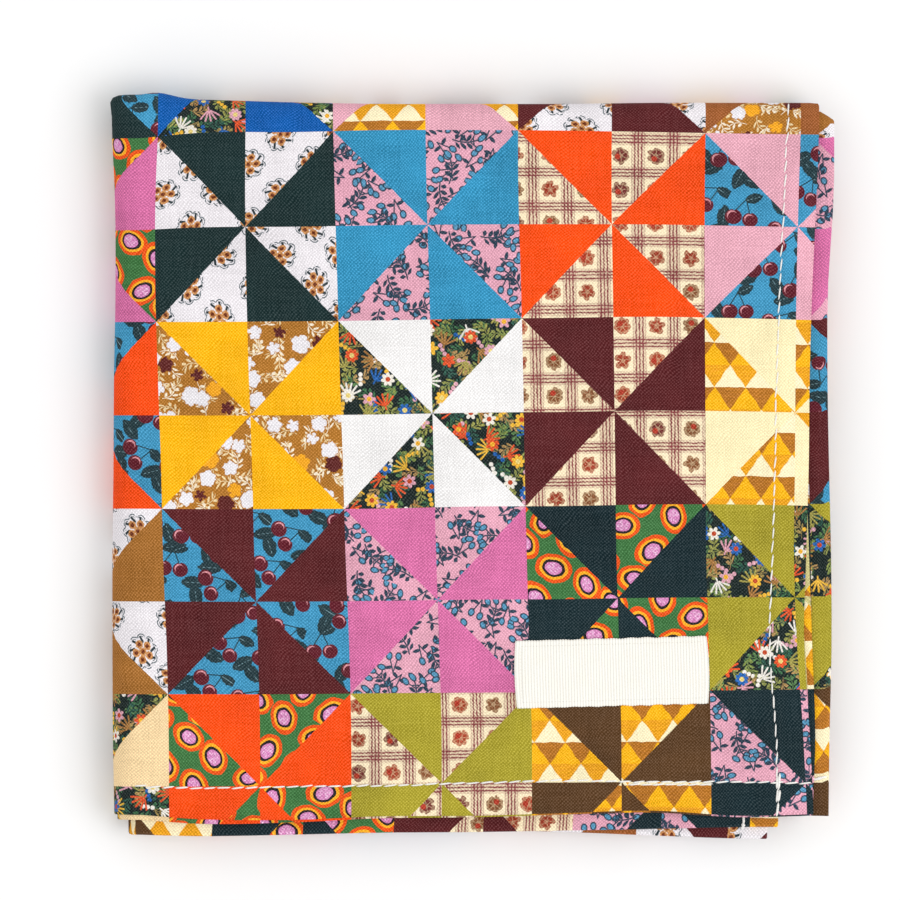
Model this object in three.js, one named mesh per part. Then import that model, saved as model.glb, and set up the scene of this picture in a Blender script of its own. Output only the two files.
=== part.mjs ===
import * as THREE from 'three';

// Folded cotton bandana: one hemmed square of cloth, folded four times into sixteen leaves, and its sewn label.
// Millimetres. X runs right and Y runs up the face, Z is up, and the leaves lie flat on Z = 0.
// The leaves are counted from the top one. Each fold lays a half of the stack underneath the other half:
//   fold one turns the far half of the open cloth under (two leaves),
//   fold two turns the left half under (four leaves),
//   fold three makes the far edge, a roll of four leaves round four (eight leaves),
//   fold four makes the left edge, a roll of eight leaves round eight (sixteen leaves).

// Cloth
const SHEET = 0.46;
const PITCH = 0.7;
const LEAVES = 16;
const HEM = 6.5;
const HEM_STEP = 0.6;
const HEM_EXTRA = 0.07;
const HEM_RISE = 0.22;

// Leaf frame: the top leaf before its edges wander, and the reach of the tables below
const RIGHT = 66;
const BOTTOM = -68;
const LEFT_CREASE = -64.5;
const FAR_CREASE = 68;
const REACH = 70;

// Folds: where each bends the cloth, and how much cloth its outermost leaf takes for the half turn
const HALF_CREASE = -210.6;
const turnOf = (leaves) => Math.PI * (leaves - 0.5) * PITCH;
const TURN = { one: turnOf(1), two: turnOf(2), three: turnOf(4), four: turnOf(8) };

// How far each edge wanders from its line, at even steps along it: left to right, or bottom to top
const ALONG_X = [
  { edge: 'far crease', wander: [1, 0.9, 0.4, 0.1, 0.1, 0.1, 0.3, 0.3, 0.3] },
  { edge: 'leaf 1', wander: [0.4, -0.8, -0.9, -0.2, -0.1, 0.4, 0.9, -0.1, 0.3] },
  { edge: 'leaf 2', wander: [-0.6, -1.7, -1.4, -0.6, -0.4, 0.1, 0.5, -0.4, 0] },
  { edge: 'leaf 3', wander: [0.3, 0.5, 0.5, 0.5, 0.6, 0.8, 1.2, 0.3, -0.2] },
  { edge: 'leaf 4', wander: [0.5, 0.8, 0.8, 0.8, 0.9, 1.1, 1.4, 0.7, 0.1] },
  { edge: 'leaf 13', wander: [0.5, 1, 1, 1, 1] },
  { edge: 'leaf 14', wander: [0.3, 1, 1, 1, 1] },
  { edge: 'leaf 15', wander: [-0.6, 1, 1, 1, 1] },
  { edge: 'leaf 16', wander: [0.4, 1, 1, 1, 1] },
  { edge: 'leaves 5 and 6', wander: [-3.2, -3.6, -3.3, -2.9, -2.8, -2.5, -2.2, -1.8, -1.9] },
  { edge: 'leaves 7 and 8', wander: [-1.6, -2.2, -2.2, -2.2, -2.4, -2.8, -3.5, -4.1, -4.2] },
  { edge: 'leaves 9 and 10', wander: [-1.6, -1, 0.4, 0.8, 0.8] },
  { edge: 'leaves 11 and 12', wander: [-3.2, -1, 0.4, 0.8, 0.8] },
];
const ALONG_Y = [
  { edge: 'left crease', wander: [0, -0.3, -0.4, -0.4, -0.2, -0.1, 0.2, 0.1, -0.6] },
  { edge: 'leaf 1', wander: [0.6, -0.2, -1.3, -0.9, -0.4, -0.2, 0.3, 1.1, 1.7] },
  { edge: 'leaf 2', wander: [0.3, 0.9, 0.3, -0.3, -0.9, -0.7, -0.2, 0.6, 1.2] },
  { edge: 'leaf 3', wander: [3.5, 3.7, 4.1, 4, 3.6, 3.3, 3.4, 4.5, 4.6] },
  { edge: 'leaf 4', wander: [2.9, 3.2, 3.6, 3.5, 3.2, 2.9, 3, 4, 4.2] },
  { edge: 'leaf 5', wander: [-6.4, -4, -1.2, 1.6, 4.2] },
  { edge: 'leaf 6', wander: [-6.4, -4, -1.2, 1.6, 4.6] },
  { edge: 'leaf 7', wander: [-8.5, -6, -3.6, -1.2, 1.2] },
  { edge: 'leaf 8', wander: [-8.5, -6, -3.6, -1.2, 1.7] },
];

// Where the far edge puckers up near its left end, and where the inner leaves draw back at its right end
const PUCKERS = [
  { x: -61.8, width: 4.6, height: 1.3 },
  { x: 71, width: 2.2, height: -2 },
];

// Soft swells of the whole stack under the top leaf
const SWELLS = [
  { x: -38, y: 34, wide: 30, long: 44, height: 0.3 },
  { x: 22, y: 8, wide: 40, long: 26, height: 0.22 },
  { x: -12, y: -42, wide: 34, long: 20, height: -0.2 },
  { x: 44, y: 52, wide: 20, long: 24, height: 0.18 },
];

// Label: a short ribbed tape sewn on the top leaf, a little askew
const LABEL = { x: 27.2, y: -40.1, length: 37.2, width: 13.3, askew: 1.5, thick: 0.5, above: 0.3 };

// Divisions of the cloth between its hems, creases and turns
const PARTS_ACROSS = { edge: 1, step: 1, leaf: 5, turnFour: 8, turnTwo: 4 };
const PARTS_ALONG = { edge: 1, step: 1, leaf: 5, turnThree: 6, turnOne: 4 };

const CLOTH_COLOUR = 0x7d5a4a;
const LABEL_COLOUR = 0xf3eee4;

const mix = (a, b, t) => a + (b - a) * t;
const bell = (t) => Math.exp(-t * t);
const stepUp = (t) => THREE.MathUtils.smoothstep(t, 0, 1);

// A smooth curve through evenly spaced values, for t from 0 to 1
function through(values, t) {
  const spans = values.length - 1;
  const place = THREE.MathUtils.clamp(t, 0, 1) * spans;
  const i = Math.min(Math.floor(place), spans - 1);
  const f = place - i;
  const b = values[i];
  const c = values[i + 1];
  const a = i > 0 ? values[i - 1] : b;
  const d = i + 2 <= spans ? values[i + 2] : c;
  const bend = (2 * a - 5 * b + 4 * c - d) * f * f + (3 * b - a - 3 * c + d) * f * f * f;
  return b + 0.5 * ((c - a) * f + bend);
}

const wanderOf = (table, edge) => table.find((row) => row.edge === edge).wander;
const alongX = (edge, x) => through(wanderOf(ALONG_X, edge), (x + REACH) / (2 * REACH));
const alongY = (edge, y) => through(wanderOf(ALONG_Y, edge), (y + REACH) / (2 * REACH));

const puckered = (x) => PUCKERS.reduce((sum, p) => sum + p.height * bell((x - p.x) / p.width), 0);
const farCrease = (x) => FAR_CREASE + alongX('far crease', x) + puckered(x);
const leftCrease = (y) => LEFT_CREASE + alongY('left crease', y);

// The leaves that the open cloth's quarters become, in columns from its left hem and rows from its near hem
const NEAR_HEM = ['leaf 4', 'leaf 13', 'leaf 16', 'leaf 1'];
const FAR_HEM = ['leaf 3', 'leaf 14', 'leaf 15', 'leaf 2'];
const MID_CREASE = ['leaves 5 and 6', 'leaves 11 and 12', 'leaves 9 and 10', 'leaves 7 and 8'];
const LEFT_HEM = ['leaf 4', 'leaf 5', 'leaf 6', 'leaf 3'];
const RIGHT_HEM = ['leaf 1', 'leaf 8', 'leaf 7', 'leaf 2'];

// Turned under at a crease: flat before it, a half turn whose radius is the height over the axis, then back
function turnUnder(across, height, crease, turn, axis) {
  const past = across - crease;
  const radius = height - axis;
  if (past <= 0) return [across, height];
  if (past >= turn) return [crease - (past - turn), axis - radius];
  const angle = (Math.PI * past) / turn;
  return [crease + radius * Math.sin(angle), axis + radius * Math.cos(angle)];
}

const axisUnder = (leaves) => -(leaves - 0.5) * PITCH;

// Where a row or column of the open cloth comes to lie: its place across a leaf, from the rails of its segment
function unfolded(rails, part) {
  const i = Math.min(Math.floor(part), rails.length - 2);
  return mix(rails[i], rails[i + 1], part - i);
}

// Where a place across the open cloth comes to lie across its leaf
function overLeaf(x) {
  const halved = x < HALF_CREASE - TURN.two ? 2 * HALF_CREASE - TURN.two - x : Math.max(x, HALF_CREASE);
  if (halved > LEFT_CREASE) return halved;
  return Math.max(LEFT_CREASE, 2 * LEFT_CREASE - TURN.four - halved);
}

const quarterAcross = (part) => (part < 3.5 ? 0 : part < 5.5 ? 1 : part < 7.5 ? 2 : 3);

// Rails across the open cloth, from its left hem to its right hem, for a leaf height y
function railsAcross(y, row) {
  const mirror = 2 * HALF_CREASE - TURN.two;
  const leftEdge = RIGHT + alongY(LEFT_HEM[row], y);
  const rightEdge = RIGHT + alongY(RIGHT_HEM[row], y);
  const crease = leftCrease(y);
  return [
    mirror - leftEdge,
    mirror - leftEdge + HEM - HEM_STEP,
    mirror - leftEdge + HEM,
    mirror - crease,
    mirror - crease + TURN.four,
    HALF_CREASE - TURN.two,
    HALF_CREASE,
    crease - TURN.four,
    crease,
    rightEdge - HEM,
    rightEdge - HEM + HEM_STEP,
    rightEdge,
  ];
}

// Rails along the open cloth, from its near hem to its far hem, for a column of it
function railsAlong(x, column) {
  const crease = farCrease(x);
  const middle = midCrease(x, column);
  const mirror = 2 * middle + TURN.one;
  const nearEdge = BOTTOM + alongX(NEAR_HEM[column], x);
  const farEdge = BOTTOM + alongX(FAR_HEM[column], x);
  return [
    nearEdge,
    nearEdge + HEM - HEM_STEP,
    nearEdge + HEM,
    crease,
    crease + TURN.three,
    middle,
    middle + TURN.one,
    mirror - crease - TURN.three,
    mirror - crease,
    mirror - farEdge - HEM,
    mirror - farEdge - HEM + HEM_STEP,
    mirror - farEdge,
  ];
}

// Where a part along the open cloth comes to lie along its leaf when its edges don't wander
const EVEN_ALONG = [BOTTOM, BOTTOM + HEM, BOTTOM + HEM, FAR_CREASE, FAR_CREASE, BOTTOM, BOTTOM, FAR_CREASE, FAR_CREASE];
const evenAlong = (part) => unfolded([...EVEN_ALONG, BOTTOM + HEM, BOTTOM + HEM, BOTTOM], part);

// Place of the mid crease along the open cloth, for a place across a leaf
function midCrease(x, column) {
  return 2 * farCrease(x) + TURN.three - (BOTTOM + alongX(MID_CREASE[column], x));
}

// Rise of the stack over its even height, as the swells and the stacked hems make it
function rise(x, y) {
  const swell = SWELLS.reduce((sum, s) => sum + s.height * bell(Math.hypot((x - s.x) / s.wide, (y - s.y) / s.long)), 0);
  const inRight = stepUp((x - (RIGHT + alongY('leaf 1', y) - HEM - 2)) / 3);
  const inBottom = stepUp((BOTTOM + alongX('leaf 1', x) + HEM + 2 - y) / 3);
  return swell + HEM_RISE * Math.max(inRight, inBottom);
}

const TOP = (LEAVES - 1) * PITCH + SHEET / 2;

function settled(x, y, z) {
  const height = z + TOP;
  return [x, y, height * (1 + rise(x, y) / (TOP + SHEET / 2))];
}

// A point of the cloth from its part across, its part along and its height in the sheet, after all four folds
function clothPoint(partX, partY, depth) {
  const column = quarterAcross(partX);
  const row = quarterAcross(partY);
  const leafY = evenAlong(partY);
  let x = unfolded(railsAcross(leafY, row), partX);
  const leafX = overLeaf(x);
  let y = unfolded(railsAlong(leafX, column), partY);
  let z = depth;
  let across;
  [y, z] = turnUnder(y, z, midCrease(leafX, column), TURN.one, axisUnder(1));
  [across, z] = turnUnder(-x, z, -HALF_CREASE, TURN.two, axisUnder(2));
  x = -across;
  [y, z] = turnUnder(y, z, farCrease(leafX), TURN.three, axisUnder(4));
  [across, z] = turnUnder(-x, z, -leftCrease(leafY), TURN.four, axisUnder(8));
  x = -across;
  return settled(x, y, z);
}

// Stations over the segments between rails, each split evenly
function stations(splits) {
  const out = [0];
  splits.forEach((n, segment) => {
    for (let i = 1; i <= n; i += 1) out.push(segment + i / n);
  });
  return out;
}

function bodyOf(columns, rows, point) {
  const wide = columns.length;
  const long = rows.length;
  const positions = [];
  for (const side of [1, -1]) {
    for (const v of rows) {
      for (const u of columns) positions.push(...point(u, v, side));
    }
  }
  const at = (i, j, side) => (side > 0 ? 0 : wide * long) + j * wide + i;
  const faces = [];
  const quad = (a, b, c, d) => faces.push(a, b, c, a, c, d);
  for (let j = 0; j + 1 < long; j += 1) {
    for (let i = 0; i + 1 < wide; i += 1) {
      quad(at(i, j, 1), at(i + 1, j, 1), at(i + 1, j + 1, 1), at(i, j + 1, 1));
      quad(at(i, j, -1), at(i, j + 1, -1), at(i + 1, j + 1, -1), at(i + 1, j, -1));
    }
  }
  for (let i = 0; i + 1 < wide; i += 1) {
    quad(at(i, 0, -1), at(i + 1, 0, -1), at(i + 1, 0, 1), at(i, 0, 1));
    quad(at(i + 1, long - 1, -1), at(i, long - 1, -1), at(i, long - 1, 1), at(i + 1, long - 1, 1));
  }
  for (let j = 0; j + 1 < long; j += 1) {
    quad(at(0, j + 1, -1), at(0, j, -1), at(0, j, 1), at(0, j + 1, 1));
    quad(at(wide - 1, j, -1), at(wide - 1, j + 1, -1), at(wide - 1, j + 1, 1), at(wide - 1, j, 1));
  }
  const geometry = new THREE.BufferGeometry();
  geometry.setAttribute('position', new THREE.Float32BufferAttribute(positions, 3));
  geometry.setIndex(faces);
  geometry.computeVertexNormals();
  return geometry;
}

// Cloth: the sheet is thicker on its wrong side along its hems
function makeCloth() {
  const a = PARTS_ACROSS;
  const b = PARTS_ALONG;
  const columns = stations([a.edge, a.step, a.leaf, a.turnFour, a.leaf, a.turnTwo, a.leaf, a.turnFour, a.leaf, a.step, a.edge]);
  const rows = stations([b.edge, b.step, b.leaf, b.turnThree, b.leaf, b.turnOne, b.leaf, b.turnThree, b.leaf, b.step, b.edge]);
  const ends = columns[columns.length - 1];
  const inHem = (part) => Math.max(2 - part, part - (ends - 2), 0) >= 1;
  const geometry = bodyOf(columns, rows, (u, v, side) => {
    const hem = inHem(u) || inHem(v) ? HEM_EXTRA : 0;
    return clothPoint(u, v, side > 0 ? SHEET / 2 : -SHEET / 2 - hem);
  });
  const look = new THREE.MeshStandardMaterial({ color: CLOTH_COLOUR, roughness: 0.9, metalness: 0 });
  const mesh = new THREE.Mesh(geometry, look);
  mesh.name = 'cloth';
  return mesh;
}

// Label: a thin tape that follows the top leaf just above it
function makeLabel() {
  const turn = THREE.MathUtils.degToRad(LABEL.askew);
  const columns = stations([8]);
  const rows = stations([3]);
  const geometry = bodyOf(columns, rows, (u, v, side) => {
    const along = (u - 0.5) * LABEL.length;
    const up = (v - 0.5) * LABEL.width;
    const x = LABEL.x + along * Math.cos(turn) - up * Math.sin(turn);
    const y = LABEL.y + along * Math.sin(turn) + up * Math.cos(turn);
    const [, , z] = settled(x, y, SHEET / 2);
    return [x, y, z + LABEL.above + (side > 0 ? LABEL.thick : 0)];
  });
  const look = new THREE.MeshStandardMaterial({ color: LABEL_COLOUR, roughness: 0.85, metalness: 0 });
  const mesh = new THREE.Mesh(geometry, look);
  mesh.name = 'label';
  return mesh;
}

const bandana = new THREE.Group();
bandana.add(makeCloth(), makeLabel());

// Origin: the middle of the folded cloth's box, on the surface under it
const box = new THREE.Box3().setFromObject(bandana);
const middle = box.getCenter(new THREE.Vector3());
bandana.position.set(-middle.x, -middle.y, -box.min.z);

export default bandana;
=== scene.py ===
import bpy
import numpy as np
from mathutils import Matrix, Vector


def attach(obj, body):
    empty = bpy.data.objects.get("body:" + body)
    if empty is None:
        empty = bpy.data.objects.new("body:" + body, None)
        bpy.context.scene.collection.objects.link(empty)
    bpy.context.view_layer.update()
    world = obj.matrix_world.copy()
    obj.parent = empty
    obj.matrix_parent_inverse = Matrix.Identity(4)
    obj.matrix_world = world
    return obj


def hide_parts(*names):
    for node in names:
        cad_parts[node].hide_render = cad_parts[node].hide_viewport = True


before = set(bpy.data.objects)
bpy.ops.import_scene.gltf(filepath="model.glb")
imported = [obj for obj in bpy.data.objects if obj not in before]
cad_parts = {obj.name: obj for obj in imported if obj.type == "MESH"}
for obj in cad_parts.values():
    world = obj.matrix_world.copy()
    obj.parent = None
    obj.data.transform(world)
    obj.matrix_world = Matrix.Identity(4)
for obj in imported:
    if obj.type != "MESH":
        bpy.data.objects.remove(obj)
bpy.context.view_layer.update()

# Folded cotton bandana: one hemmed, printed square of cloth in sixteen leaves, its stitching and label.
# Sizes are in millimetres and become metres where a mesh is made. X runs right and Y up the face, Z is up.
MM = 0.001

# Cloth, as in the solids: its thickness, the height from leaf to leaf, and the hem's width and what it adds
SHEET = 0.46
PITCH = 0.7
LEAVES = 16
HEM = 6.5
HEM_EXTRA = 0.07
HEM_RISE = 0.22
# Edges and creases of the top leaf, the fold at half the cloth's width, and the reach of the edge tables
RIGHT = 66
BOTTOM = -68
LEFT_CREASE = -64.5
FAR_CREASE = 68
REACH = 70
HALF_CREASE = -210.6
# Cloth in each half turn, the top of the stack, the middle of its box, and the cut edge's rounding
TURN_ONE, TURN_TWO, TURN_THREE, TURN_FOUR = (np.pi * (n - 0.5) * PITCH for n in (1, 2, 4, 8))
TOP = (LEAVES - 1) * PITCH + SHEET / 2
CENTRE = (0.0355, -0.0178)
EDGE_ROUND = 0.17

# How far each edge wanders from its line, at even steps along it: left to right, or bottom to top
ALONG_X = {
    "far crease": [1, 0.9, 0.4, 0.1, 0.1, 0.1, 0.3, 0.3, 0.3],
    "leaf 1": [0.4, -0.8, -0.9, -0.2, -0.1, 0.4, 0.9, -0.1, 0.3],
    "leaf 2": [-0.6, -1.7, -1.4, -0.6, -0.4, 0.1, 0.5, -0.4, 0],
    "leaf 3": [0.3, 0.5, 0.5, 0.5, 0.6, 0.8, 1.2, 0.3, -0.2],
    "leaf 4": [0.5, 0.8, 0.8, 0.8, 0.9, 1.1, 1.4, 0.7, 0.1],
    "leaf 13": [0.5, 1, 1, 1, 1],
    "leaf 14": [0.3, 1, 1, 1, 1],
    "leaf 15": [-0.6, 1, 1, 1, 1],
    "leaf 16": [0.4, 1, 1, 1, 1],
    "leaves 5 and 6": [-3.2, -3.6, -3.3, -2.9, -2.8, -2.5, -2.2, -1.8, -1.9],
    "leaves 7 and 8": [-1.6, -2.2, -2.2, -2.2, -2.4, -2.8, -3.5, -4.1, -4.2],
    "leaves 9 and 10": [-1.6, -1, 0.4, 0.8, 0.8],
    "leaves 11 and 12": [-3.2, -1, 0.4, 0.8, 0.8],
}
ALONG_Y = {
    "left crease": [0, -0.3, -0.4, -0.4, -0.2, -0.1, 0.2, 0.1, -0.6],
    "leaf 1": [0.6, -0.2, -1.3, -0.9, -0.4, -0.2, 0.3, 1.1, 1.7],
    "leaf 2": [0.3, 0.9, 0.3, -0.3, -0.9, -0.7, -0.2, 0.6, 1.2],
    "leaf 3": [3.5, 3.7, 4.1, 4, 3.6, 3.3, 3.4, 4.5, 4.6],
    "leaf 4": [2.9, 3.2, 3.6, 3.5, 3.2, 2.9, 3, 4, 4.2],
    "leaf 5": [-6.4, -4, -1.2, 1.6, 4.2],
    "leaf 6": [-6.4, -4, -1.2, 1.6, 4.6],
    "leaf 7": [-8.5, -6, -3.6, -1.2, 1.2],
    "leaf 8": [-8.5, -6, -3.6, -1.2, 1.7],
}
NEAR_HEM = ["leaf 4", "leaf 13", "leaf 16", "leaf 1"]
FAR_HEM = ["leaf 3", "leaf 14", "leaf 15", "leaf 2"]
MID_CREASE = ["leaves 5 and 6", "leaves 11 and 12", "leaves 9 and 10", "leaves 7 and 8"]
LEFT_HEM = ["leaf 4", "leaf 5", "leaf 6", "leaf 3"]
RIGHT_HEM = ["leaf 1", "leaf 8", "leaf 7", "leaf 2"]

# (place, width, height) of each pucker of the far edge, and (x, y, wide, long, height) of each soft swell
PUCKERS = [(-61.8, 4.6, 1.3), (71, 2.2, -2)]
# The far left corner is pulled out to a point: how far left, how far up as a share of that, where, and
# how widely
CORNER = {"pull": 0.7, "up": 0.4, "x": 70.5, "y": 72, "wide": 1.8}
SWELLS = [(-38, 34, 30, 44, 0.3), (22, 8, 40, 26, 0.22), (-12, -42, 34, 20, -0.2), (44, 52, 20, 24, 0.18)]

# Stitch lines of the top leaf's two hems, at even steps along each
SIDE_STITCH = [59.5, 59.2, 57.95, 58.5, 59.0, 59.35, 59.9, 60.8, 61.6]
FOOT_STITCH = [-62.1, -62.7, -62.4, -62.2, -61.7, -61.2, -61.5, -61.5, -61.8]

# Print: the lines between its blocks on the top leaf, numbered right and down, at even steps along each
BLOCK_WIDE = 35.5
BLOCK_LONG = 36.5
UPRIGHT_LINES = {
    0: [-59.1, -59.2, -59.6, -60.3, -60.7, -61.3, -61.8, -61.8, -61.2],
    1: [-23.6, -23.6, -24.0, -24.7, -25.2, -25.8, -26.3, -26.8, -27.2],
    2: [11.6, 11.6, 11.1, 10.6, 10.2, 9.9, 9.5, 9.0, 8.9],
    3: [46.6, 46.5, 46.1, 45.6, 45.5, 45.4, 45.3, 45.3, 45.5],
    3.5: [65.3, 64.5, 63.3, 62.7, 62.9, 63.0, 63.2, 63.6, 64.1],
}
LEVEL_LINES = {
    3.5: [-62.4, -62.4, -62.3, -62.1, -61.6, -61.6, -61.5, -61.6, -61.8],
    3: [-44.4, -44.4, -44.4, -44.2, -44.1, -44.0, -43.8, -43.6, -43.4],
    2: [-8.2, -8.3, -8.3, -8.2, -7.8, -7.7, -7.4, -7.4, -7.7],
    1: [28.2, 28.2, 28.3, 28.5, 28.8, 29.0, 29.2, 28.9, 28.5],
    0: [63.6, 65.1, 65.2, 65.6, 65.6, 65.5, 65.2, 64.9, 64.7],
}
# The same lines on the inner leaves, as places over the leaf: at its foot where they differ from the top
# leaf's
LEAF_SEVEN_LINES = {0: -63.0, 1: -37.6, 2: -2.9, 3: 31.8}
LEAF_THREE_LINES = {-11: 30.2, -10: -5.3, -9: -40.8}
LEAF_FIVE_LINES = {-11: 19.4, -10: -15.5, -9: -51.0}
HEM_LINE = (5.5, 4.0)
ROW_LINES = {
    1: {-1: 47.5, -2: 16.1, -3: -15.3, -4: -46.6},
    2: {-5: -60.3, -6: -23.8, -7: 12.7, -8: 49.2},
    3: {-9: 64.1, -10: 28.6, -11: -7.3, -12: -43.4},
}

LABEL = {"x": 27.2, "y": -40.1, "length": 37.3, "width": 13.3, "askew": 1.5, "rib": 0.55, "sewn": 1.1}


def through(values, t):
    """Smooth curve through evenly spaced values: a cubic between each two, its slope at a value half the
    difference of the neighbours."""
    v = np.asarray(values, float)
    spans = len(v) - 1
    place = np.clip(t, 0, 1) * spans
    i = np.minimum(place.astype(int), spans - 1)
    f = place - i
    a, b, c, d = v[np.maximum(i - 1, 0)], v[i], v[i + 1], v[np.minimum(i + 2, spans)]
    return b + 0.5 * ((c - a) * f + (2 * a - 5 * b + 4 * c - d) * f**2 + (3 * b - a - 3 * c + d) * f**3)


def along(values, place):
    """A table's value at a place over a leaf, from one end of its reach to the other."""
    return through(values, (np.asarray(place, float) + REACH) / (2 * REACH))


def each_own(tables, edges, which, place):
    """The value of each point's own edge: its number picks the edge, its place the value along it."""
    return np.choose(which, [along(tables[edge], place) for edge in edges])


def bell(t):
    """Bell curve: one at zero, falling off as the exponential of minus the square."""
    return np.exp(-(t**2))


def step_up(t):
    """Smooth step: three times the square less twice the cube, between zero and one."""
    t = np.clip(t, 0, 1)
    return t * t * (3 - 2 * t)


def far_crease(x):
    """Far edge of the top leaf: its line, its wander and its puckers."""
    return FAR_CREASE + along(ALONG_X["far crease"], x) + sum(h * bell((x - at) / w) for at, w, h in PUCKERS)


def left_crease(y):
    """Left edge of the top leaf: its line and its wander."""
    return LEFT_CREASE + along(ALONG_Y["left crease"], y)


def mid_crease(x, column):
    """Place of the first fold along the open cloth: twice the far crease and its turn, less the folded
    edge's own place."""
    return 2 * far_crease(x) + TURN_THREE - BOTTOM - each_own(ALONG_X, MID_CREASE, column, x)


def turn_under(across, height, crease, turn, axis):
    """Flat before the crease, then a half turn round an axis under it, whose radius is the height over the
    axis, then flat again underneath."""
    past = across - crease
    radius = height - axis
    angle = np.pi * np.clip(past / turn, 0, 1)
    bent = crease + radius * np.sin(angle) + np.minimum(past, 0) - np.maximum(past - turn, 0)
    return bent, axis + radius * np.cos(angle)


def axis_under(leaves):
    """Height of a fold's axis: midway down the leaves that it turns under."""
    return -(leaves - 0.5) * PITCH


def over_leaf(x):
    """Where a place across the open cloth comes to lie across its leaf, its edges taken as straight."""
    halved = np.where(x < HALF_CREASE - TURN_TWO, 2 * HALF_CREASE - TURN_TWO - x, np.maximum(x, HALF_CREASE))
    tucked = np.maximum(LEFT_CREASE, 2 * LEFT_CREASE - TURN_FOUR - halved)
    return np.where(halved > LEFT_CREASE, halved, tucked)


def rise(x, y):
    """Rise of the stack over its even height: bells for its swells and a smooth step where the hems lie on
    each other."""
    swell = sum(h * bell(np.hypot((x - at) / wide, (y - up) / long)) for at, up, wide, long, h in SWELLS)
    in_right = step_up((x - (RIGHT + along(ALONG_Y["leaf 1"], y) - HEM - 2)) / 3)
    in_bottom = step_up((BOTTOM + along(ALONG_X["leaf 1"], x) + HEM + 2 - y) / 3)
    return swell + HEM_RISE * np.maximum(in_right, in_bottom)


def settled(x, y, z):
    """The stack with its foot on the floor: each height grows by the share that the rise is of the
    whole."""
    return x, y, (z + TOP) * (1 + rise(x, y) / (TOP + SHEET / 2))


def folded(x, y, depth, leaf_y, column):
    """A point of the open cloth after its four folds: under at the middle, under at half its width, then
    the far and the left rolls."""
    leaf_x = over_leaf(x)
    y, z = turn_under(y, depth, mid_crease(leaf_x, column), TURN_ONE, axis_under(1))
    x, z = turn_under(-x, z, -HALF_CREASE, TURN_TWO, axis_under(2))
    y, z = turn_under(y, z, far_crease(leaf_x), TURN_THREE, axis_under(4))
    x, z = turn_under(x, z, -left_crease(leaf_y), TURN_FOUR, axis_under(8))
    wide = CORNER["wide"]
    pull = CORNER["pull"] * bell((x - CORNER["x"]) / wide) * bell((y - CORNER["y"]) / wide)
    return settled(-x - pull, y + CORNER["up"] * pull, z)


def waves(x, y, seed, count, wavelength):
    """Gentle unevenness: a sum of sines in seeded directions and phases, with wavelengths from one to two
    times the shortest."""
    rng = np.random.default_rng(seed)
    total = np.zeros_like(x)
    for _ in range(count):
        heading, phase = rng.uniform(0, 2 * np.pi, 2)
        pitch = wavelength * rng.uniform(1, 2)
        total += np.sin((x * np.cos(heading) + y * np.sin(heading)) * 2 * np.pi / pitch + phase)
    return total / np.sqrt(count)


def stitched(x, y):
    """Relief of the top leaf: a groove along each stitch line, puckers across it a stitch long, a bead
    beside it and gentle waves."""
    relief = 0.045 * waves(x, y, 3, 14, 9) + 0.02 * waves(x, y, 5, 14, 4)
    for off, run in ((x - along(SIDE_STITCH, y), y), (along(FOOT_STITCH, x) - y, x)):
        pucker = np.cos(2 * np.pi * run / 2.75 + 0.8 * waves(run, 0 * run, 7, 5, 22))
        relief -= (0.17 + 0.05 * pucker) * bell(off / 0.5)
        relief += (0.05 + 0.045 * pucker) * bell((np.abs(off) - 1.1) / 0.8)
        relief += 0.05 * np.sin(2 * np.pi * run / 11 + waves(run, 0 * run, 9, 5, 30)) * bell((off - 3) / 3)
    return relief


# Grid across the open cloth. Each line has its number in the print, if it is one between blocks, and the
# steps to the next
ACROSS = [
    (None, 3), (-12, 2), (None, 3), (-11, 5), (-10, 5), (-9, 4), (None, 4), (-8, 5), (None, 4), (-7, 3),
    (-6, 3), (-5, 3), (None, 5), (None, 2), (-4, 3), (-3, 3), (-2, 3), (-1, 3), (None, 9), (None, 3), (0, 34),
    (1, 34), (2, 34), (3, 12), (None, 6), (None, 5), (None, 4), (3.5, 2), (None, 0),
]
ALONG = [
    (None, 4), (None, 5), (None, 6), (None, 15), (3, 34), (2, 34), (1, 34), (0, 4), (None, 8), (None, 3),
    (-1, 3), (-2, 3), (-3, 3), (-4, 4), (None, 4), (None, 2), (-5, 4), (-6, 4), (-7, 4), (-8, 3), (None, 7),
    (None, 1), (-9, 5), (-10, 5), (-11, 5), (-12, 4), (None, 3), (None, 0),
]
EVEN_ALONG = [
    -68, -63.1, -61.7, -60.1, -44, -8, 28.7, 65.2, 68, 68, 47.5, 16.1, -15.3, -46.6, -68, -68, -60.3, -23.8,
    12.7, 49.2, 68, 68, 64.1, 28.6, -7.3, -43.4, -61.5, -68,
]


# Where one leaf gives way to the next, in lines of each grid, and the lines across at which the print's
# step changes: the last before the left roll, the roll, the last whole block and the half one after it
COLUMN_ENDS = (7, 12.5, 18.5)
ROW_ENDS = (8.5, 14.5, 20.5)
STEP_CHANGES = (5, 6, 23, 27)


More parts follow.
